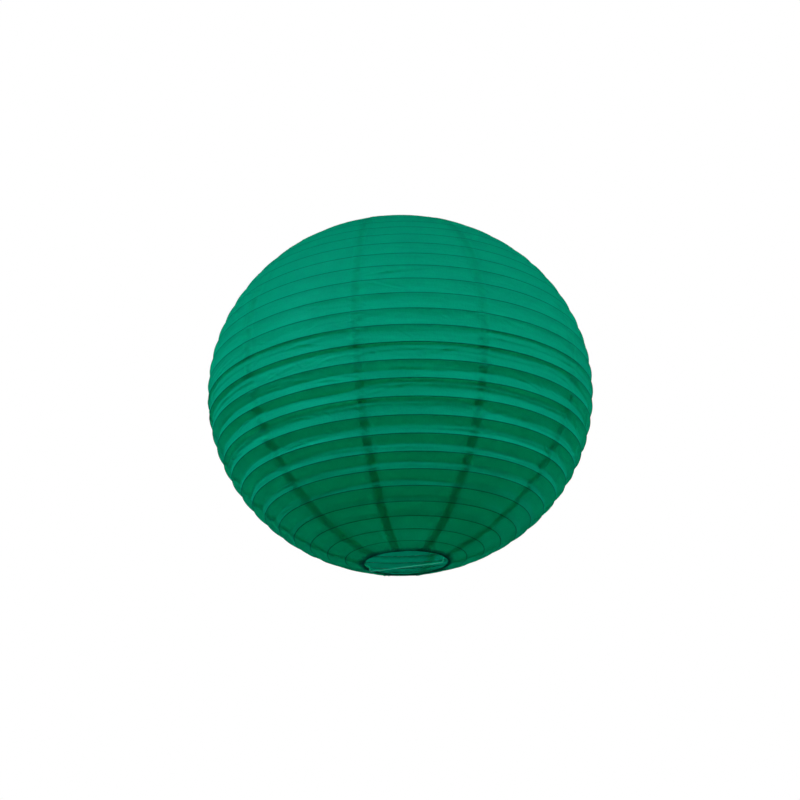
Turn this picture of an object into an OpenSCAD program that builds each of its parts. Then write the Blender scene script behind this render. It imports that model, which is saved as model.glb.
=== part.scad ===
/* [Globe] */
// Radius of the paper globe over its widest ridge
globe_r = 300; // [280:1:320]
// Half height of the ellipse that the paper follows, before the mouths cut it
globe_half_h = 278; // [265:1:295]
// Thickness of the paper skin as modelled
paper_t = 0.4; // [0.3:0.1:0.6]
// How far the paper pulls in between two hoops
paper_sag = 3.6; // [0:0.2:4]
// Angle of the first seam, from the expander bar towards +Y
seam_start = -84.3; // [-90:0.1:-70]
// Gap left at each seam so that neighbouring gores stay separate
seam_gap = 0.4; // [0.2:0.1:1]

/* [Hoops] */
// Diameter of the spring wire in each rib hoop
hoop_wire = 1.0; // [0.8:0.1:1.2]
// How much wider the hoops stand apart near the mouths than at the waist
hoop_spread = 0.055; // [0:0.005:0.12]
// Clearance between a hoop and the paper laid over it
hoop_clear = 0.5; // [0.4:0.1:0.8]

/* [Mouth rings] */
// Centreline radius of the wire ring at each mouth
ring_r = 64; // [60:1:66]
// Diameter of the mouth ring wire
ring_wire = 2.0; // [1.6:0.1:2.4]
// Height of the hanging point above the top ring
eye_above_ring = 30; // [28:1:40]

/* [Expander] */
// Diameter of the expander wire
exp_wire = 2.2; // [2:0.1:2.4]
// Inside radius of the hanging eye
eye_r = 6; // [5:0.5:8]
// Distance from the axis to each expander leg
leg_x = 58; // [56:0.5:59]
// How far each kink reaches out past the leg, to hold a mouth ring
kink_out = 12; // [11:0.5:13]
// Height of the kink's flank that bears on the ring
kink_rise = 7.5; // [7:0.5:8]
// Drop of the bottom bar below the bottom ring
bar_drop = 6; // [6:0.5:10]

/* [Hidden] */

gore_count = 10;
bay_count = 29;
gore_angle = 360 / gore_count;
seam_trim = seam_gap / globe_r * 180 / PI;

// The hoops lie on an ellipse just inside the ridges of the paper
ridge_off = hoop_wire / 2 + hoop_clear + paper_t;
ea = globe_r - ridge_off;
eb = globe_half_h - ridge_off;
ring_lat = acos(ring_r / ea);
ring_h = eb * sin(ring_lat);
centre_z = -eye_above_ring - ring_h;
top_z = centre_z + ring_h;
bottom_z = centre_z - ring_h;
bar_z = bottom_z - bar_drop;

// Arc length along the ellipse, from the top ring (s = 0) to the bottom ring
ARC_N = 360;
arc_step = 2 * ring_lat / ARC_N;
function arc_speed(t) = sqrt(pow(ea * sin(t), 2) + pow(eb * cos(t), 2)) * PI / 180;
arc_table = [for (i = 0, s = 0; i <= ARC_N;
                  s = s + arc_step * arc_speed(ring_lat - (i + 0.5) * arc_step), i = i + 1)
             [s, ring_lat - i * arc_step]];
arc_total = arc_table[ARC_N][0];

// Station u runs from 0 at the top ring to bay_count at the bottom ring
function station_arc(u) = arc_total * (u / bay_count + hoop_spread * sin(360 * u / bay_count) / (2 * PI));
function station_lat(u) = lookup(station_arc(u), arc_table);
function on_ellipse(u) = let (t = station_lat(u)) [ea * cos(t), centre_z + eb * sin(t)];
function outward(u) = let (t = station_lat(u), n = [cos(t) / ea, sin(t) / eb]) n / norm(n);

// Distance from the hoop ellipse to the paper's inner face at a station:
// over a hoop or a ring it clears the wire, between two it sags inwards
function wire_at(i) = (i == 0 || i == bay_count) ? ring_wire : hoop_wire;
function lift(i) = wire_at(i) / 2 + hoop_clear;
function sag_of(i) = (i == 0 || i == bay_count - 1) ? paper_sag * 0.2 : paper_sag;
function skin(i2, extra) = let (
        u = i2 / 2,
        off = i2 % 2 == 0 ? lift(i2 / 2) : (lift(floor(u)) + lift(ceil(u))) / 2 - sag_of(floor(u)))
    on_ellipse(u) + outward(u) * (off + extra);

gore_profile = concat(
    [for (i2 = [0 : 2 * bay_count]) skin(i2, paper_t)],
    [for (i2 = [2 * bay_count : -1 : 0]) skin(i2, 0)]);

// Expander outline in the XZ plane: [x, z, bend radius], right half from the eye's top down
loop_r = eye_r + exp_wire / 2;
neck_x = exp_wire / 2 + 0.4;
kink_gap = ring_wire / 2 + 0.5 + 0.45 + exp_wire / 2;
flank = atan(kink_rise / kink_out);
kink_off = kink_gap / cos(flank) - kink_rise * (ring_r - leg_x) / kink_out;
right_half = concat(
    [for (a = [90 : -15 : -60]) [loop_r * cos(a), -eye_r + loop_r * sin(a), 0]],
    [[neck_x, -eye_r - loop_r - 3.5, 2.5],
     [neck_x, -eye_r - loop_r - 7, 2.5],
     [leg_x, top_z + 6, 3],
     [leg_x, top_z - kink_off, 3],
     [leg_x + kink_out, top_z - kink_off - kink_rise, 2.5],
     [leg_x, top_z - 18, 4],
     [leg_x, bottom_z + 18, 4],
     [leg_x + kink_out, bottom_z + kink_off + kink_rise, 2.5],
     [leg_x, bottom_z + kink_off, 3],
     [leg_x, bar_z, 3]]);
half_n = len(right_half);
outline = concat(right_half, [for (i = [half_n - 1 : -1 : 1]) [-right_half[i][0], right_half[i][1], right_half[i][2]]]);
out_n = len(outline);

BEND_N = 5;
function xy(p) = [p[0], p[1]];
function unit(v) = v / norm(v);
// One corner of the outline, as itself or as the points of its bend
function bend(i) = let (
        p = xy(outline[i]), r = outline[i][2],
        a = unit(xy(outline[(i + out_n - 1) % out_n]) - p),
        b = unit(xy(outline[(i + 1) % out_n]) - p),
        half = acos(a * b) / 2)
    r == 0 ? [p] : let (
        c = p + unit(a + b) * r / sin(half),
        s = p + a * r / tan(half), e = p + b * r / tan(half),
        a0 = atan2(s[1] - c[1], s[0] - c[0]), a1 = atan2(e[1] - c[1], e[0] - c[0]),
        turn = ((a1 - a0 + 540) % 360) - 180)
    [for (k = [0 : BEND_N]) c + r * [cos(a0 + turn * k / BEND_N), sin(a0 + turn * k / BEND_N)]];
wire_path = [for (i = [0 : out_n - 1]) for (p = bend(i)) p];
path_n = len(wire_path);
SIDES = 12;
function path_dir(i) = unit(unit(wire_path[(i + 1) % path_n] - wire_path[i])
                            + unit(wire_path[i] - wire_path[(i + path_n - 1) % path_n]));

// One gore: the strip of skin between two seams, from mouth ring to mouth ring
module paper_gore(k) {
    color([0.0, 0.47, 0.36])
        translate([0, 0, 0])
            rotate_extrude(angle = gore_angle - seam_trim,
                           start = seam_start + k * gore_angle + seam_trim / 2, $fn = 240)
                polygon(gore_profile);
}

// One rib hoop: a closed ring of round spring wire
module rib_hoop(i) {
    p = on_ellipse(i);
    color([0.55, 0.58, 0.56])
        translate([0, 0, p[1]])
            rotate_extrude($fn = 180)
                translate([p[0], 0]) circle(d = hoop_wire, $fn = 16);
}

// A mouth ring: a closed ring of thicker wire that the gore ends are folded round
module mouth_ring(z) {
    color([0.20, 0.22, 0.21])
        translate([0, 0, z])
            rotate_extrude($fn = 120)
                translate([ring_r, 0]) circle(d = ring_wire, $fn = 20);
}

module top_ring() mouth_ring(top_z);
module bottom_ring() mouth_ring(bottom_z);

// The expander: one closed bent wire with the hanging eye on top, two legs with
// kinks that hold the mouth rings apart, and a straight bar across the bottom
module expander_wire() {
    pts = [for (i = [0 : path_n - 1]) let (p = wire_path[i], d = path_dir(i), n = [-d[1], d[0]])
           for (j = [0 : SIDES - 1]) let (a = 360 * j / SIDES)
               [p[0] + exp_wire / 2 * cos(a) * n[0], exp_wire / 2 * sin(a), p[1] + exp_wire / 2 * cos(a) * n[1]]];
    faces = [for (i = [0 : path_n - 1]) let (m = (i + 1) % path_n)
             for (j = [0 : SIDES - 1]) let (q = (j + 1) % SIDES)
                 each [[i * SIDES + j, m * SIDES + q, m * SIDES + j], [i * SIDES + j, i * SIDES + q, m * SIDES + q]]];
    color([0.74, 0.76, 0.76]) polyhedron(points = pts, faces = faces, convexity = 10);
}

expander_wire();
top_ring();
bottom_ring();
paper_gore(0);  // paper_gore_01
paper_gore(1);  // paper_gore_02
paper_gore(2);  // paper_gore_03
paper_gore(3);  // paper_gore_04
paper_gore(4);  // paper_gore_05
paper_gore(5);  // paper_gore_06
paper_gore(6);  // paper_gore_07
paper_gore(7);  // paper_gore_08
paper_gore(8);  // paper_gore_09
paper_gore(9);  // paper_gore_10
rib_hoop(1);  // rib_hoop_01
rib_hoop(2);  // rib_hoop_02
rib_hoop(3);  // rib_hoop_03
rib_hoop(4);  // rib_hoop_04
rib_hoop(5);  // rib_hoop_05
rib_hoop(6);  // rib_hoop_06
rib_hoop(7);  // rib_hoop_07
rib_hoop(8);  // rib_hoop_08
rib_hoop(9);  // rib_hoop_09
rib_hoop(10);  // rib_hoop_10
rib_hoop(11);  // rib_hoop_11
rib_hoop(12);  // rib_hoop_12
rib_hoop(13);  // rib_hoop_13
rib_hoop(14);  // rib_hoop_14
rib_hoop(15);  // rib_hoop_15
rib_hoop(16);  // rib_hoop_16
rib_hoop(17);  // rib_hoop_17
rib_hoop(18);  // rib_hoop_18
rib_hoop(19);  // rib_hoop_19
rib_hoop(20);  // rib_hoop_20
rib_hoop(21);  // rib_hoop_21
rib_hoop(22);  // rib_hoop_22
rib_hoop(23);  // rib_hoop_23
rib_hoop(24);  // rib_hoop_24
rib_hoop(25);  // rib_hoop_25
rib_hoop(26);  // rib_hoop_26
rib_hoop(27);  // rib_hoop_27
rib_hoop(28);  // rib_hoop_28
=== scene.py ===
import math

import bpy
import numpy as np
from mathutils import Matrix, Vector


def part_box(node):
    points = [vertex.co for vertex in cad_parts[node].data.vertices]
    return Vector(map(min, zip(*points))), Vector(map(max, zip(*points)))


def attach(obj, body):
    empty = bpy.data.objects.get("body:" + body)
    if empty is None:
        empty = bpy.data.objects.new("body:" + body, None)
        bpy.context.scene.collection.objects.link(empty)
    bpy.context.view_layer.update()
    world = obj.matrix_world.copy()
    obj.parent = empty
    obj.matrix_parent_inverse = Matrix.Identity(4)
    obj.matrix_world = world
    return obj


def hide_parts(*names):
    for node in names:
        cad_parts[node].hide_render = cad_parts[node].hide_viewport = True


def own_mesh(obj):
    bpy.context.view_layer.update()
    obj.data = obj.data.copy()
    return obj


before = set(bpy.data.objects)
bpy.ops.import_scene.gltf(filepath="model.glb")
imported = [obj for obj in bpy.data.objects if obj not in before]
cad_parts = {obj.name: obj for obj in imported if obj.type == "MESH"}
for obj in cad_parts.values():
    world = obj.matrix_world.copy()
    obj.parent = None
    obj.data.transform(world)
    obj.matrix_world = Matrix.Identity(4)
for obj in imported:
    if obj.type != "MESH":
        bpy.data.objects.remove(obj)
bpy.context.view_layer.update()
scene = bpy.context.scene
scene.view_settings.view_transform = "Standard"
scene.view_settings.look = "None"

# ---------------------------------------------------------------- frame sizes
GORES = 10
SEAM0 = math.radians(-84.3)  # polar angle of the first seam
STEP = 2 * math.pi / GORES


def ring_of(node):
    lo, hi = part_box(node)
    wire = 0.001 if node.endswith("_ring") else 0.0005
    return max(hi.x - lo.x, hi.y - lo.y) / 2 - wire, (lo.z + hi.z) / 2, wire


TOP = ring_of("top_ring")
BOTTOM = ring_of("bottom_ring")
hoop_names = sorted(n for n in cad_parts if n.startswith("rib_hoop"))
HOOPS = [ring_of(n) for n in hoop_names]
ST = [TOP] + HOOPS + [BOTTOM]  # station 0 is the top ring
BAYS = len(ST) - 1
CZ = (TOP[1] + BOTTOM[1]) / 2
ST_R = np.array([s[0] for s in ST])
ST_Z = np.array([s[1] for s in ST]) - CZ
# ellipse through the hoops
EB = 0.2766
EA = max(r / math.sqrt(1 - (z / EB) ** 2) for r, z in zip(ST_R, ST_Z) if abs(z) < 0.1)
LAT = np.arctan2(ST_Z / EB, ST_R / EA)


# ---------------------------------------------------------------- noise
def _hash(ix, iy, iz, seed):
    h = (ix.astype(np.int64) * 374761393 + iy.astype(np.int64) * 668265263 + iz.astype(np.int64) * 2147483647 + seed * 1274126177) & 0xFFFFFFFF
    h = ((h ^ (h >> 13)) * 1274126177) & 0xFFFFFFFF
    h = h ^ (h >> 16)
    return (h & 0xFFFFFF) / float(0xFFFFFF) * 2 - 1


def noise3(x, y, z, seed):
    x, y, z = np.broadcast_arrays(x, y, z)
    x0, y0, z0 = np.floor(x), np.floor(y), np.floor(z)
    fx, fy, fz = x - x0, y - y0, z - z0
    ux, uy, uz = (f * f * f * (f * (f * 6 - 15) + 10) for f in (fx, fy, fz))
    out = 0
    for i in (0, 1):
        for j in (0, 1):
            for k in (0, 1):
                w = (ux if i else 1 - ux) * (uy if j else 1 - uy) * (uz if k else 1 - uz)
                out = out + w * _hash(x0 + i, y0 + j, z0 + k, seed)
    return out


def round_noise(phi, a, lam_phi, lam_a, seed):
    """Noise over the globe, seamless in phi: lam_phi is in metres at the waist, lam_a in metres of arc."""
    rad = EA / lam_phi
    return noise3(np.cos(phi) * rad, np.sin(phi) * rad, a / lam_a, seed)


def smooth(x):
    x = np.clip(x, 0, 1)
    return x * x * (3 - 2 * x)


# ---------------------------------------------------------------- the paper
ARC = np.concatenate([[0], np.cumsum(np.hypot(np.diff(ST_R), np.diff(ST_Z)))])
PITCH = ARC[-1] / BAYS
COVER = 0.00008  # the glued paper stands this far off a wire's outside

# How deep the paper hangs in between the hoops, in metres, at these bays
DEPTH_AT = [0, 1, 3, 6, 9, 12, 14, 15, 16, 18, 20, 22, 23, 24, 25, 26, 27, 28]
DEPTH = [0.0006, 0.0010, 0.0013, 0.0015, 0.0017, 0.0023, 0.0028, 0.0040, 0.0056, 0.0068, 0.0062, 0.0055, 0.0048, 0.0040, 0.0030, 0.0020, 0.0013, 0.0008]
# Every bay keeps its packing folds: places t1 < t2 < t3 down the bay, and the share of the depth at each
FOLDS = {
    "third": (0.33, 0.55, 0.78, 1.00, 0.67, 0.33),
    "steep": (0.20, 0.48, 0.74, 1.00, 0.63, 0.31),  # drops just below the hoop, then rises slowly
    "crease": (0.13, 0.43, 0.52, 0.84, 0.62, 0.72),
    "vee": (0.40, 0.52, 0.70, 0.86, 1.00, 0.62),
    "double": (0.22, 0.41, 0.58, 0.92, 0.62, 0.86),
    "late": (0.50, 0.66, 0.80, 0.92, 0.70, 0.62),
    "low": (0.63, 0.75, 0.88, 1.00, 0.67, 0.32),
    "lower": (0.73, 0.82, 0.92, 1.00, 0.67, 0.30),
}
FRONT = {13: "third", 14: "third", 15: "third", 16: "crease", 17: "vee", 18: "double", 19: "double", 20: "late", 21: "low", 22: "low", 23: "low", 24: "lower", 25: "lower"}
rng = np.random.default_rng(4719)
FOLD = np.zeros((GORES, BAYS, 6))
for k in range(GORES):
    for b in range(BAYS):
        if b < 13:
            kind = rng.choice(["steep", "vee", "steep", "crease"])
        elif b < 17:
            kind = rng.choice(["steep", "steep", "crease", "vee"])
        elif b < 20:
            kind = rng.choice(["vee", "double", "double", "late"])
        elif b < 22:
            kind = rng.choice(["late", "low", "low"])
        else:
            kind = rng.choice(["low", "lower", "low"])
        if k == 0 and b in FRONT:
            kind = FRONT[b]
        f = np.array(FOLDS[str(kind)])
        f[:3] += rng.uniform(-0.035, 0.035)
        f[3:] *= 1 + rng.uniform(-0.07, 0.07, 3)
        FOLD[k, b] = f
ROUND = np.interp(np.arange(BAYS), [0, 10, 13, 14, 15, 16, 23, 26, 28], [1.0, 0.95, 0.90, 0.82, 0.30, 0.12, 0.10, 0.75, 1.0])  # 1 is a smooth hollow, 0 is all folds

SEG = (5, 3, 3, 5)
EDGE = (0.0131, 0.034)
ROWS_PER_BAY = 4 + sum(SEG)


def fold_values(phi, b):
    """The six fold numbers of bay b round the globe, blended at the seams."""
    g = ((phi - SEAM0) / STEP) % GORES
    k = np.floor(g).astype(int) % GORES
    x = g - np.floor(g)
    own = FOLD[k, b]
    prev, nxt = FOLD[(k - 1) % GORES, b], FOLD[(k + 1) % GORES, b]
    wl = 0.5 * (1 - smooth(x / 0.16))[:, None]
    wr = 0.5 * (1 - smooth((1 - x) / 0.16))[:, None]
    v = own * (1 - wl - wr) + prev * wl + nxt * wr
    n = 0.075 * round_noise(phi, np.full_like(phi, b * 7.31 + 0.5), 0.13, 1.0, 11) + 0.035 * round_noise(phi, np.full_like(phi, b * 3.17 + 0.5), 0.045, 1.0, 12)
    m = 1 + 0.42 * round_noise(phi, np.full_like(phi, b * 5.77 + 0.5), 0.10, 1.0, 13)
    v = v.copy()
    v[:, 0] = np.clip(v[:, 0] + n, 0.10, 0.86)
    v[:, 1] = np.clip(v[:, 1] + n, v[:, 0] + 0.04, 0.91)
    v[:, 2] = np.clip(v[:, 2] + n, v[:, 1] + 0.03, 0.95)
    v[:, 4] = v[:, 4] * m
    return v


def bay_rows(phi, b):
    """The rows of bay b (first row on the hoop) as places 0 to 1 down the bay, and the hang there in metres."""
    v = fold_values(phi, b)
    depth = np.interp(b, DEPTH_AT, DEPTH)
    depth = depth * (1 + 0.10 * round_noise(phi, np.full_like(phi, b * 2.9 + 0.5), 0.17, 1.0, 14))
    kn = [np.full_like(phi, EDGE[1]), v[:, 0], v[:, 1], v[:, 2], np.full_like(phi, 1 - EDGE[1])]
    t = [np.zeros_like(phi), np.full_like(phi, EDGE[0]), kn[0]]
    for i, n in enumerate(SEG):
        for j in range(1, n + 1):
            t.append(kn[i] + (kn[i + 1] - kn[i]) * j / n)
    t.append(np.full_like(phi, 1 - EDGE[0]))
    t = np.array(t)
    T = [np.zeros_like(phi), v[:, 0], v[:, 1], v[:, 2], np.ones_like(phi)]
    H = [np.zeros_like(phi), v[:, 3], v[:, 4], v[:, 5], np.zeros_like(phi)]
    poly = np.zeros_like(t)
    for i in range(4):
        x = (t - T[i]) / (T[i + 1] - T[i])
        inside = (x >= 0) & (x <= 1)
        bulge = 0.05 * np.sin(math.pi * np.clip(x, 0, 1)) * (1 if i != 2 else 0)
        poly = np.where(inside, H[i] + (H[i + 1] - H[i]) * x + bulge, poly)
    bow = 4 * t * (1 - t)
    hang = -depth * ((1 - ROUND[b]) * poly + ROUND[b] * bow)
    # slopes at the two hoops, for the paper's turn round the wire
    s0 = depth * ((1 - ROUND[b]) * (v[:, 3] + 0.05 * math.pi) / v[:, 0] + ROUND[b] * 4) / PITCH
    s1 = depth * ((1 - ROUND[b]) * (v[:, 5] + 0.05 * math.pi) / (1 - v[:, 2]) + ROUND[b] * 4) / PITCH
    return t, hang, s0, s1


# creases: long folds that run nearly parallel to the hoops, a few in each gore
CREASES = []
for k in range(GORES):
    for b in range(1, BAYS - 1):
        up = b / (BAYS - 1.0)  # 0 top, 1 bottom
        want = 0.6 + 2.0 * math.exp(-(((up - 0.62) / 0.12) ** 2)) + 0.7 * math.exp(-(((up - 0.40) / 0.16) ** 2))
        if up > 0.80:
            want = 0.10
        for _ in range(rng.poisson(want)):
            s0 = rng.uniform(-0.08, 0.75)
            s1 = min(1.08, s0 + rng.uniform(0.22, 0.7))
            ta = rng.choice([rng.uniform(0.03, 0.14), rng.uniform(0.86, 0.97), rng.uniform(0.25, 0.75)])
            tb = rng.uniform(0.2, 0.8)
            tc = rng.choice([rng.uniform(0.05, 0.3), rng.uniform(0.7, 0.95), rng.uniform(0.3, 0.7)])
            CREASES.append((k, b, s0, s1, ta, tb, tc, rng.uniform(0.35, 1.0) * 0.00150, rng.uniform(0.0011, 0.0021), rng.choice([-1, 1])))
# short diagonal crumples
for k in range(GORES):
    for b in range(2, BAYS - 2):
        for _ in range(rng.poisson(1.9 if 12 < b < 25 else 0.5)):
            s0 = rng.uniform(0.0, 0.92)
            s1 = s0 + rng.uniform(0.05, 0.13)
            ta, tc = rng.uniform(0.15, 0.5), rng.uniform(0.5, 0.85)
            if rng.random() < 0.5:
                ta, tc = tc, ta
            CREASES.append((k, b, s0, s1, ta, (ta + tc) / 2, tc, rng.uniform(0.3, 0.9) * 0.00140, rng.uniform(0.0008, 0.0014), rng.choice([-1, 1])))
# pinches where a seam crosses a hoop
PINCH = rng.uniform(0, 1, (GORES, BAYS + 1, 6))


def detail(phi, u, r, arc, b, t):
    """Small relief on top of the hang, along the normal, in metres. All grids."""
    up = u / BAYS
    bow = 4 * t * (1 - t)
    inside = np.clip(bow, 0, 1) ** 0.6
    rough = 0.45 + 0.55 * np.exp(-(((up - 0.55) / 0.2) ** 2))
    rough = rough * (0.25 + 0.75 * smooth((0.97 - up) / 0.25))
    d = inside * rough * (0.00070 * round_noise(phi, arc, 0.055, 0.0105, 21) + 0.00034 * round_noise(phi, arc, 0.020, 0.0052, 22))
    # cross ripples that gather at the hoops
    near = np.exp(-np.minimum(t, 1 - t) / 0.20)
    d = d + 0.00009 * near * inside * round_noise(phi, arc, 0.0085, 0.025, 25) * rough
    gore = (phi - SEAM0) / STEP
    for k, cb, s0, s1, ta, tb, tc, amp, wid, sign in CREASES:
        r0, r1 = cb * ROWS_PER_BAY, (cb + 1) * ROWS_PER_BAY
        g = gore[r0] - k
        g = (g + GORES / 2) % GORES - GORES / 2
        cols = np.where((g > s0) & (g < s1))[0]
        if not len(cols):
            continue
        x = ((g[cols] - s0) / (s1 - s0))[None, :]
        env = smooth(np.clip(x / 0.18, 0, 1)) * smooth(np.clip((1 - x) / 0.25, 0, 1))
        line = ta * (1 - x) ** 2 + 2 * tb * x * (1 - x) + tc * x ** 2
        tt = t[r0:r1][:, cols]
        dist = (tt - line) * PITCH
        prof = np.exp(-np.abs(dist) / wid) - 0.55 * np.exp(-(((dist - 1.9 * wid * sign) / (1.3 * wid)) ** 2))
        d[r0:r1, cols[0]:cols[-1] + 1] += amp * env * prof * np.clip(bow[r0:r1][:, cols] * 2.2, 0, 1)
    # crumples along each seam
    off = ((phi - SEAM0 + STEP / 2) % STEP) - STEP / 2
    side = off * r
    by_seam = np.exp(-((side / 0.0085) ** 2))
    d = d + by_seam * (0.00095 * round_noise(phi, arc, 0.0085, 0.0065, 31) + 0.00050 * round_noise(phi, arc, 0.0045, 0.0038, 32)) * np.clip(bow * 1.6, 0, 1) * (0.7 + 0.6 * smooth((up - 0.80) / 0.15))
    # the lap is stiffer than one sheet, so it bridges some of the hollow
    d = d + by_seam * bow * np.interp(up * BAYS, DEPTH_AT, DEPTH) * 0.22
    seam = np.round((phi - SEAM0) / STEP).astype(int) % GORES
    for (bb, s) in ((b, t), (b + 1, 1 - t)):
        bb = np.clip(bb, 0, BAYS)
        q = PINCH[seam, bb]
        at = (side - (q[..., 1] - 0.5) * 0.012) / (0.003 + 0.003 * q[..., 2])
        dn = (s * PITCH - (0.0015 + 0.0035 * q[..., 3])) / (0.0012 + 0.0012 * q[..., 4])
        d = d + (q[..., 0] - 0.45) * 0.0019 * np.exp(-at ** 2 - dn ** 2) * np.clip(bow * 3, 0, 1)
    # the gathered ends by the mouths
    end = smooth((np.maximum(up, 1 - up) - 0.90) / 0.08)
    clear = smooth((np.minimum(t, 1 - t) * PITCH - 0.0008) / 0.0030)  # flat where it is glued to a wire
    d = d + end * np.clip(bow * 1.6, 0, 1) * (0.00050 * round_noise(phi, arc, 0.030, 0.012, 41) + 0.00028 * round_noise(phi, arc, 0.012, 0.006, 42))
    return d * clear


def skin_points(phi, u, off):
    """Points off metres outside the ellipse of the hoops' centrelines."""
    lat = np.interp(u, np.arange(BAYS + 1), LAT)
    r, z = EA * np.cos(lat), EB * np.sin(lat)
    n = np.stack([np.cos(lat) / EA, np.sin(lat) / EB])
    n = n / np.linalg.norm(n, axis=0)
    rr, zz = r + off * n[0], z + off * n[1]
    return np.stack([rr * np.cos(phi), rr * np.sin(phi), zz + CZ], axis=-1)


LAP_COLS, MID_COLS = 9, 68
LAPS = np.array([0.0135, 0.0150, 0.0168, 0.0140, 0.0150, 0.0135, 0.0145, 0.0138, 0.0165, 0.0205])  # glued by hand, so they vary


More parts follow.
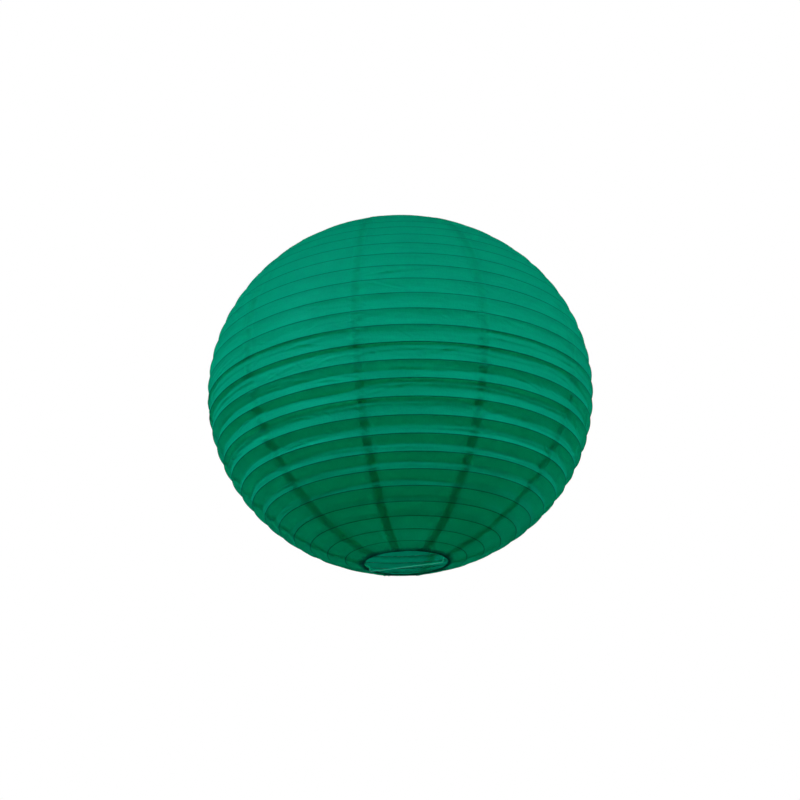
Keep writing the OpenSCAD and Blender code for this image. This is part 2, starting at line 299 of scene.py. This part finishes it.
def gore_mesh(k):
    wire = np.array([s[2] for s in ST]) + COVER
    cl = np.linspace(0, 1, LAP_COLS + 1)[None, :]
    cm = np.linspace(0, 1, MID_COLS + 1)[None, :]
    a, b_ = SEAM0 + k * STEP, SEAM0 + (k + 1) * STEP
    # first pass: the columns, on even rows
    frac = np.concatenate([[0, EDGE[0], EDGE[1]], EDGE[1] + (1 - 2 * EDGE[1]) * np.arange(1, sum(SEG) + 1) / sum(SEG), [1 - EDGE[0]]])
    even = np.concatenate([b + frac for b in range(BAYS)] + [[float(BAYS)]])[:, None]
    lat = np.interp(even, np.arange(BAYS + 1), LAT)
    r = EA * np.cos(lat)
    arc = np.interp(even, np.arange(BAYS + 1), ARC)
    half, half2 = LAPS[k] / 2 / r, LAPS[(k + 1) % GORES] / 2 / r
    wob = 0.0007 * round_noise(np.full_like(even, a), arc, 0.02, 0.018, 51)
    wob2 = 0.0007 * round_noise(np.full_like(even, b_), arc, 0.02, 0.018, 51)
    left = a - half + 2 * half * cl + (wob / r) * (1 - cl)
    mid = (a + half) + (b_ - a - half - half2) * cm
    right = b_ - half2 + 2 * half2 * cl + (wob2 / r) * cl
    phi = np.concatenate([left, mid[:, 1:-1], right], axis=1)
    n = phi.shape[1]
    U, HANG = [], []
    for b in range(BAYS):
        ph = phi[b * ROWS_PER_BAY + ROWS_PER_BAY // 2]
        t, hang, s0, s1 = bay_rows(ph, b)
        s = t * PITCH
        base = wire[b] + (wire[b + 1] - wire[b]) * t
        e = 1 - s / PITCH
        for w, sl, dist in ((wire[b], s0, s), (wire[b + 1], s1, PITCH - s)):
            al = np.arctan(sl)
            lift = w * (1 / np.cos(al) - 1) * np.exp(-dist / 0.004)
            turn = dist < w * np.sin(al)
            hang = np.where(turn, np.sqrt(np.clip(w * w - dist * dist, 0, None)) - base, hang + lift)
        U.append(b + t)
        HANG.append(hang)
    U.append(np.full((1, n), float(BAYS)))
    HANG.append(np.zeros((1, n)))
    uu, hang = np.concatenate(U), np.concatenate(HANG)
    bb = np.minimum(np.floor(uu + 1e-9), BAYS - 1).astype(int)
    t = uu - bb
    lat = np.interp(uu, np.arange(BAYS + 1), LAT)
    rr = EA * np.cos(lat)
    aa = np.interp(uu, np.arange(BAYS + 1), ARC)
    d = hang + detail(phi, uu, rr, aa, bb, t)
    # lap: this gore lies over its neighbour at the left seam and under it at the right one
    into = (phi - phi[:, :1]) * rr  # metres from the free edge at the left
    over = 0.00030 * (1 - smooth((into - LAPS[k]) / 0.006))
    curl = np.exp(-into / 0.0030) * np.clip(4 * t * (1 - t), 0, 1) * np.clip(0.00016 + 0.00050 * round_noise(np.full_like(phi, a), aa, 0.05, 0.016, 52), 0, 1)
    base = np.interp(uu, np.arange(BAYS + 1), wire)
    P = skin_points(phi, uu, base + d + over + curl)
    off = ((phi - SEAM0 + STEP / 2) % STEP) - STEP / 2
    bow = 4 * t * (1 - t)
    crush = np.exp(-((off * rr / 0.0095) ** 2)) * np.clip(bow * 3, 0, 1)  # 1 where the glued lap has crumpled
    two = (np.abs(off * rr) < LAPS[np.round((phi - SEAM0) / STEP).astype(int) % GORES] / 2 + 0.0002).astype(float)  # 1 on a lap
    glue_and_wire_shadow = (np.minimum(t, 1 - t) * PITCH < 0.0008).astype(float)  # 1 where the paper is glued over a wire; the paper there also gets painted shadow of the wire
    # also 1 near the mouths, so the paper by the rings gets the same painted shadow
    glue_and_wire_shadow = np.maximum(glue_and_wire_shadow, np.clip(1.6 - np.minimum(uu, BAYS - uu) * PITCH / 0.0022, 0, 1))
    # the ends are folded round the mouth rings and glued back inside
    ends = []
    for which, ring, row in ((0, TOP, 0), (1, BOTTOM, -1)):
        sgn = 1 if which == 0 else -1
        lat_r = LAT[0] if which == 0 else LAT[-1]
        nn = np.array([math.cos(lat_r) / EA, math.sin(lat_r) / EB])
        nn = nn / np.linalg.norm(nn)
        # direction along the skin towards the mouth
        m = np.array([-nn[1], nn[0]]) * sgn
        m = m if m[0] < 0 else -m
        ph = phi[row]
        wrap = []
        ov = over[row]
        for j in range(1, 10):
            ang = math.pi * j / 9
            rad = ring[2] + 0.00012 + ov + 0.00010 * round_noise(ph, np.full_like(ph, 0.01 * j), 0.01, 0.004, 61)
            q = np.outer(rad * math.cos(ang), nn) + np.outer(rad * math.sin(ang), m)
            wrap.append(q)
        for j in range(1, 7):
            back = 0.0075 * j / 6
            gap = ring[2] * (1 - smooth(j / 3.0)) + 0.00035 * smooth(j / 3.0)
            dep = gap + 0.0002 + 0.00025 * round_noise(ph, np.full_like(ph, 0.01 * j), 0.007, 0.005, 62) + (1 - ov / 0.00030) * 0.0001
            q = np.outer(-dep, nn) - m[None, :] * back
            wrap.append(q)
        lens = [np.stack([(ring[0] + q[:, 0]) * np.cos(ph), (ring[0] + q[:, 0]) * np.sin(ph), ring[1] + q[:, 1]], axis=-1) for q in wrap]
        ends.append(np.stack(lens))
    P = np.concatenate([ends[0][::-1], P, ends[1]], axis=0)
    phi_all = np.concatenate([np.repeat(phi[:1], len(ends[0]), 0), phi, np.repeat(phi[-1:], len(ends[1]), 0)], axis=0)
    extra = np.linspace(0.0009, 0.014, len(ends[0]))[:, None]
    arc_all = np.concatenate([np.repeat(-extra[::-1], n, 1), aa, aa[-1:] + extra])
    crush = np.concatenate([np.zeros((len(ends[0]), n)), crush, np.zeros((len(ends[1]), n))])
    # the folded ends are glued and get the same painted shadow
    glue_and_wire_shadow = np.concatenate([np.ones((len(ends[0]), n)), glue_and_wire_shadow, np.ones((len(ends[1]), n))])
    two = np.concatenate([np.repeat(two[:1], len(ends[0]), 0), two, np.repeat(two[-1:], len(ends[1]), 0)])
    return P, phi_all, arc_all, crush, glue_and_wire_shadow, two


def make_mesh(name, P, uv=None, attrs=None, flip=False):
    nr, nc = P.shape[:2]
    idx = np.arange(nr * nc).reshape(nr, nc)
    q = np.stack([idx[:-1, :-1], idx[1:, :-1], idx[1:, 1:], idx[:-1, 1:]], axis=-1).reshape(-1, 4)
    if flip:
        q = q[:, ::-1]
    me = bpy.data.meshes.new(name)
    me.vertices.add(nr * nc)
    me.vertices.foreach_set("co", P.reshape(-1).astype(np.float32))
    me.loops.add(q.size)
    me.loops.foreach_set("vertex_index", q.reshape(-1).astype(np.int32))
    me.polygons.add(len(q))
    me.polygons.foreach_set("loop_start", np.arange(0, q.size, 4, dtype=np.int32))
    me.polygons.foreach_set("use_smooth", np.ones(len(q), dtype=bool))
    me.update(calc_edges=True)
    if uv is not None:
        lay = me.uv_layers.new(name="paper_uv")
        lay.data.foreach_set("uv", uv.reshape(-1, 2)[q.reshape(-1)].reshape(-1).astype(np.float32))
    for key, val in (attrs or {}).items():
        me.attributes.new(key, "FLOAT", "POINT").data.foreach_set("value", val.reshape(-1).astype(np.float32))
    me.validate()
    ob = bpy.data.objects.new(name, me)
    scene.collection.objects.link(ob)
    return ob


# ---------------------------------------------------------------- materials
def new_mat(name):
    m = bpy.data.materials.new(name)
    m.use_nodes = True
    nt = m.node_tree
    nt.nodes.clear()
    return m, nt, nt.nodes, nt.links


def paper_material():
    m, nt, N, L = new_mat("paper")
    out = N.new("ShaderNodeOutputMaterial")
    mix = N.new("ShaderNodeMixShader")
    mix.inputs[0].default_value = 0.5
    pb = N.new("ShaderNodeBsdfPrincipled")
    pb.inputs["Roughness"].default_value = 0.6
    pb.inputs["Specular IOR Level"].default_value = 0.0
    tr = N.new("ShaderNodeBsdfTranslucent")
    gl = N.new("ShaderNodeBsdfGlossy")
    gl.inputs["Color"].default_value = (0.05, 1.0, 0.9, 1)
    mix2 = N.new("ShaderNodeMixShader")
    mix2.inputs[0].default_value = 0.04
    L.new(pb.outputs[0], mix.inputs[1])
    L.new(tr.outputs[0], mix.inputs[2])
    L.new(mix.outputs[0], mix2.inputs[1])
    L.new(gl.outputs[0], mix2.inputs[2])
    L.new(mix2.outputs[0], out.inputs[0])
    uv = N.new("ShaderNodeUVMap")
    uv.uv_map = "paper_uv"  # metres along the hoop and down the gore

    def mapped(sx, sy):
        mp = N.new("ShaderNodeMapping")
        mp.inputs["Scale"].default_value = (sx, sy, 1)
        L.new(uv.outputs[0], mp.inputs[0])
        return mp

    def noise(src, scale, detail, rough=0.5, dist=0.0):
        n = N.new("ShaderNodeTexNoise")
        n.inputs["Scale"].default_value = scale
        n.inputs["Detail"].default_value = detail
        n.inputs["Roughness"].default_value = rough
        n.inputs["Distortion"].default_value = dist
        L.new(src.outputs[0], n.inputs["Vector"])
        return n

    def math_n(op, a, b=None):
        n = N.new("ShaderNodeMath")
        n.operation = op
        for i, v in enumerate((a, b)):
            if v is None:
                continue
            if isinstance(v, (int, float)):
                n.inputs[i].default_value = v
            else:
                L.new(v, n.inputs[i])
        return n.outputs[0]

    def ramp(src, stops):
        r = N.new("ShaderNodeValToRGB")
        e = r.color_ramp.elements
        e[0].position, e[0].color = stops[0]
        e[1].position, e[1].color = stops[-1]
        for p, c in stops[1:-1]:
            x = e.new(p)
            x.color = c
        L.new(src, r.inputs[0])
        return r

    fibre = noise(mapped(420, 160), 1.0, 6, 0.65, 0.6)  # paper fibres, a few millimetres long
    cloud = noise(mapped(18, 26), 1.0, 4, 0.6, 0.3)  # uneven dye, centimetres wide
    pulp = noise(mapped(900, 900), 1.0, 3, 0.7)  # formation flecks
    tone = math_n("ADD", math_n("MULTIPLY", fibre.outputs[0], 0.42), math_n("ADD", math_n("MULTIPLY", cloud.outputs[0], 0.38), math_n("MULTIPLY", pulp.outputs[0], 0.20)))
    col = ramp(tone, [(0.34, (0.0, 0.232, 0.160, 1)), (0.5, (0.0, 0.262, 0.182, 1)), (0.68, (0.0, 0.290, 0.203, 1))])
    # glue_and_wire_shadow is 1 over the wires and at the mouths; the paper is darkened there as painted shadow of the
    # wires, along with the paste
    line = N.new("ShaderNodeAttribute")
    line.attribute_name = "glue_and_wire_shadow"

    def darken(src, dst, keep):
        m_ = N.new("ShaderNodeMix")
        m_.data_type = "RGBA"
        m_.blend_type = "MULTIPLY"
        L.new(line.outputs["Fac"], m_.inputs[0])
        L.new(src, m_.inputs[6])
        m_.inputs[7].default_value = (keep, keep, keep, 1)
        L.new(m_.outputs[2], dst)

    # base colour kept at 0.66 over the wires: painted wire shadow and paste
    darken(col.outputs[0], pb.inputs["Base Color"], 0.66)
    tcol = ramp(tone, [(0.34, (0.0, 0.72, 0.43, 1)), (0.5, (0.0, 0.80, 0.48, 1)), (0.68, (0.0, 0.86, 0.53, 1))])
    dbl = N.new("ShaderNodeAttribute")
    dbl.attribute_name = "lap"
    clear = N.new("ShaderNodeMix")  # paste makes the paper of a lap clearer
    clear.data_type = "RGBA"
    L.new(dbl.outputs["Fac"], clear.inputs[0])
    L.new(tcol.outputs[0], clear.inputs[6])
    clear.inputs[7].default_value = (0.0, 0.90, 0.57, 1)
    # translucent colour kept at 0.36 over the wires: painted shadow of the wire blocking the light through the paper,
    # and paste
    darken(clear.outputs[2], tr.inputs["Color"], 0.36)
    # crinkle: fine ridges that run along the hoops, and a finer cross grain
    c1 = noise(mapped(70, 330), 1.0, 5, 0.6, 0.9)
    c2 = noise(mapped(260, 210), 1.0, 4, 0.6, 0.5)
    c3 = noise(mapped(330, 46), 1.0, 3, 0.55, 0.3)  # short wrinkles across the bays
    patch = noise(mapped(22, 34), 1.0, 2, 0.5, 0.2)
    pm = N.new("ShaderNodeMapRange")
    pm.inputs["From Min"].default_value = 0.46
    pm.inputs["From Max"].default_value = 0.62
    pm.inputs["To Max"].default_value = 0.0010
    L.new(patch.outputs[0], pm.inputs["Value"])
    h = math_n("ADD", math_n("MULTIPLY", c1.outputs[0], 0.00120), math_n("ADD", math_n("MULTIPLY", c2.outputs[0], 0.00080), math_n("MULTIPLY", fibre.outputs[0], 0.00006)))
    h = math_n("ADD", h, math_n("MULTIPLY", c3.outputs[0], pm.outputs[0]))
    lap = N.new("ShaderNodeAttribute")
    lap.attribute_name = "crush"
    c4 = noise(mapped(190, 250), 1.0, 4, 0.62, 0.9)  # crumpled laps
    h = math_n("ADD", h, math_n("MULTIPLY", math_n("MULTIPLY", c4.outputs[0], 0.0024), lap.outputs["Fac"]))
    bump = N.new("ShaderNodeBump")
    bump.inputs["Strength"].default_value = 0.8
    bump.inputs["Distance"].default_value = 1.0
    L.new(h, bump.inputs["Height"])
    L.new(bump.outputs[0], pb.inputs["Normal"])
    L.new(bump.outputs[0], gl.inputs["Normal"])
    rr = math_n("ADD", 0.13, math_n("MULTIPLY", cloud.outputs[0], 0.12))
    L.new(rr, gl.inputs["Roughness"])
    return m


def wire_material(name, base, rough, grime_and_sheen, bump_h=0.00003, scale=1.0, metal=1.0):
    m, nt, N, L = new_mat(name)
    out = N.new("ShaderNodeOutputMaterial")
    pb = N.new("ShaderNodeBsdfPrincipled")
    pb.inputs["Metallic"].default_value = metal
    L.new(pb.outputs[0], out.inputs[0])
    tc = N.new("ShaderNodeTexCoord")

    def noise(sx, sy, sz, detail, rough_=0.6):
        mp = N.new("ShaderNodeMapping")
        mp.inputs["Scale"].default_value = (sx * scale, sy * scale, sz * scale)
        L.new(tc.outputs["Object"], mp.inputs[0])
        n = N.new("ShaderNodeTexNoise")
        n.inputs["Scale"].default_value = 1.0
        n.inputs["Detail"].default_value = detail
        n.inputs["Roughness"].default_value = rough_
        L.new(mp.outputs[0], n.inputs["Vector"])
        return n

    spots = noise(260, 260, 260, 5)
    fine = noise(1900, 1900, 1900, 3)
    r = N.new("ShaderNodeValToRGB")
    e = r.color_ramp.elements
    e[0].position, e[0].color = 0.36, (*grime_and_sheen, 1)
    e[1].position, e[1].color = 0.60, (*base, 1)
    L.new(spots.outputs[0], r.inputs[0])
    L.new(r.outputs[0], pb.inputs["Base Color"])
    mr = N.new("ShaderNodeMapRange")
    mr.inputs["To Min"].default_value = rough + 0.16
    mr.inputs["To Max"].default_value = rough - 0.06
    L.new(spots.outputs[0], mr.inputs["Value"])
    L.new(mr.outputs[0], pb.inputs["Roughness"])
    bump = N.new("ShaderNodeBump")
    bump.inputs["Strength"].default_value = 0.6
    bump.inputs["Distance"].default_value = bump_h
    L.new(fine.outputs[0], bump.inputs["Height"])
    L.new(bump.outputs[0], pb.inputs["Normal"])
    return m


PAPER = paper_material()
MAT_HOOP = wire_material("rib_wire", (0.30, 0.38, 0.34), 0.42, (0.05, 0.20, 0.14))  # stained where paste and dye took
MAT_RING = wire_material("mouth_ring_wire", (0.055, 0.075, 0.065), 0.46, (0.028, 0.036, 0.032))
# the expander's bright sea-green base and spots, with little metal, are painted reflection of the green paper on a
# bare wire
MAT_EXP_PAINTED_REFLECTION = wire_material("expander_wire", (0.02, 0.90, 0.62), 0.30, (0.02, 0.80, 0.54), metal=0.2)

for n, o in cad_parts.items():
    mat = MAT_HOOP if n.startswith("rib_hoop") else MAT_RING if n.endswith("_ring") else MAT_EXP_PAINTED_REFLECTION if n == "expander_wire" else None
    if mat:
        o.data.materials.clear()
        o.data.materials.append(mat)

for k in range(GORES):
    P, ph, ar, crush, glue_and_wire_shadow, two = gore_mesh(k)
    uv = np.stack([(ph - SEAM0 - k * STEP) * EA + k * 0.37, ar + 0.11 * k], axis=-1)
    ob = make_mesh("gore_%02d" % (k + 1), P, uv, {"crush": crush, "glue_and_wire_shadow": glue_and_wire_shadow, "lap": two})
    ob.data.materials.append(PAPER)
    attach(ob, "top_ring_and_paper")
    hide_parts("paper_gore_%02d" % (k + 1))
    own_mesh(ob)

# ---------------------------------------------------------------- room
floor_me = bpy.data.meshes.new("floor")
S, FZ = 14.0, BOTTOM[1] - 1.05
floor_me.from_pydata([(-S, -S, FZ), (S, -S, FZ), (S, S, FZ), (-S, S, FZ)], [], [(0, 1, 2, 3)])
floor = bpy.data.objects.new("floor", floor_me)
scene.collection.objects.link(floor)
fm, nt, N, L = new_mat("floor")
o_ = N.new("ShaderNodeOutputMaterial")
d_ = N.new("ShaderNodeBsdfDiffuse")
d_.inputs["Color"].default_value = (0.62, 0.62, 0.61, 1)
dark = N.new("ShaderNodeBsdfDiffuse")  # black cloth under the set, as far as the light it throws up goes
dark.inputs["Color"].default_value = (0.06, 0.06, 0.06, 1)
lp_ = N.new("ShaderNodeLightPath")
fx = N.new("ShaderNodeMixShader")
L.new(lp_.outputs["Is Camera Ray"], fx.inputs[0])
L.new(dark.outputs[0], fx.inputs[1])
pale = N.new("ShaderNodeEmission")  # keeps the floor as pale as the backdrop when it is in view
pale.inputs["Color"].default_value = (0.50, 0.50, 0.49, 1)
addf = N.new("ShaderNodeAddShader")
L.new(d_.outputs[0], addf.inputs[0])
L.new(pale.outputs[0], addf.inputs[1])
L.new(addf.outputs[0], fx.inputs[2])
L.new(fx.outputs[0], o_.inputs[0])
floor.data.materials.append(fm)

AZ = math.radians(17.4)
world = bpy.data.worlds.new("studio")
scene.world = world
world.use_nodes = True
wn = world.node_tree
wn.nodes.clear()
wo = wn.nodes.new("ShaderNodeOutputWorld")
bg = wn.nodes.new("ShaderNodeBackground")  # the white seen behind the object
bg.inputs["Color"].default_value = (1, 1, 1, 1)
bg.inputs["Strength"].default_value = 1.0
fill = wn.nodes.new("ShaderNodeBackground")  # the light it gives: a lit backdrop behind, dark cloth in front
fill.inputs["Color"].default_value = (1, 1, 1, 1)
tcw = wn.nodes.new("ShaderNodeTexCoord")
dotn = wn.nodes.new("ShaderNodeVectorMath")
dotn.operation = "DOT_PRODUCT"
wn.links.new(tcw.outputs["Generated"], dotn.inputs[0])
dotn.inputs[1].default_value = (-math.sin(AZ), math.cos(AZ), 0)
mrw = wn.nodes.new("ShaderNodeMapRange")
mrw.inputs["From Min"].default_value = 0.15
mrw.inputs["From Max"].default_value = 0.75
mrw.inputs["To Min"].default_value = 0.22
mrw.inputs["To Max"].default_value = 0.26
wn.links.new(dotn.outputs["Value"], mrw.inputs["Value"])
lp = wn.nodes.new("ShaderNodeLightPath")
gls = wn.nodes.new("ShaderNodeMath")  # shiny wire sees a brighter room
gls.operation = "MULTIPLY_ADD"
wn.links.new(lp.outputs["Is Glossy Ray"], gls.inputs[0])
gls.inputs[1].default_value = 0.35
wn.links.new(mrw.outputs[0], gls.inputs[2])
wn.links.new(gls.outputs[0], fill.inputs["Strength"])
wm = wn.nodes.new("ShaderNodeMixShader")
wn.links.new(lp.outputs["Is Camera Ray"], wm.inputs[0])
wn.links.new(fill.outputs[0], wm.inputs[1])
wn.links.new(bg.outputs[0], wm.inputs[2])
wn.links.new(wm.outputs[0], wo.inputs[0])

GC = Vector((0, 0, CZ))


def area_light(name, az_deg, el_deg, dist, size, power, spread=180, aim=0.0, side=0.0, gloss=False):
    a, e = math.radians(az_deg), math.radians(el_deg)
    back = Vector((math.sin(a) * math.cos(e), -math.cos(a) * math.cos(e), math.sin(e)))
    ld = bpy.data.lights.new(name, "AREA")
    ld.shape = "DISK"
    ld.size = size
    ld.energy = power
    ld.spread = math.radians(spread)
    lo = bpy.data.objects.new(name, ld)
    lo.location = GC + back * dist
    lo.rotation_mode = "QUATERNION"
    lo.rotation_quaternion = (GC + Vector((math.cos(a) * side, math.sin(a) * side, aim)) - lo.location).to_track_quat("-Z", "Y")
    lo.visible_camera = False
    lo.visible_glossy = gloss
    scene.collection.objects.link(lo)
    return lo


area_light("key", 17.4 - 3, 27, 3.4, 0.45, 4.6, spread=30.5, aim=-0.8)
area_light("left", 17.4 - 76, 32, 3.4, 0.55, 4.1, spread=31, aim=-0.7)
area_light("right", 17.4 + 72, 32, 3.4, 0.55, 3.85, spread=31, aim=-0.7)
area_light("back", 17.4 + 180, 4, 3.2, 1.4, 7)
area_light("rim_left", 17.4 - 160, -12, 3.0, 0.4, 0.9, spread=16, aim=-0.24, side=0.42)
area_light("rim_right", 17.4 + 160, -12, 3.0, 0.4, 0.9, spread=16, aim=-0.24, side=-0.42)
area_light("side_left", 17.4 - 115, -24, 2.6, 0.4, 0.19, spread=16, aim=-0.2, side=0.26)
area_light("side_right", 17.4 + 115, -24, 2.6, 0.4, 0.17, spread=16, aim=-0.2, side=-0.26)
area_light("low", -47.7, -66, 1.3, 0.12, 0.0075, spread=12, aim=-0.27, gloss=True)
area_light("glint", 17.4 - 57, 34, 2.8, 0.28, 6, gloss=True)

# ---------------------------------------------------------------- camera
E, ROLL, TX, TY, D, F = math.radians(22.05), math.radians(1.978), 0.0023, 0.0183, 9.0, math.exp(7.4551)
se, ce, sr, cr = math.sin(E), math.cos(E), math.sin(ROLL), math.cos(ROLL)
R1 = np.array([[1, 0, 0], [0, -se, ce], [0, ce, se]])
R = np.array([[cr, -sr, 0], [sr, cr, 0], [0, 0, 1]]) @ R1
UNIT = 0.300
pos = -R.T @ np.array([TX, TY, D]) * UNIT
turn = np.array([[math.cos(AZ), -math.sin(AZ), 0], [math.sin(AZ), math.cos(AZ), 0], [0, 0, 1]])
right, upv, fwd = (turn @ R[i] for i in range(3))
cam_d = bpy.data.cameras.new("camera")
cam_d.sensor_width = 36
cam_d.lens = F / 800 * 36
cam_d.clip_start, cam_d.clip_end = 0.05, 60
cam = bpy.data.objects.new("camera", cam_d)
p = turn @ pos
cam.matrix_world = Matrix(((right[0], upv[0], -fwd[0], p[0]), (right[1], upv[1], -fwd[1], p[1]), (right[2], upv[2], -fwd[2], p[2] + CZ), (0, 0, 0, 1)))
scene.collection.objects.link(cam)
scene.camera = cam
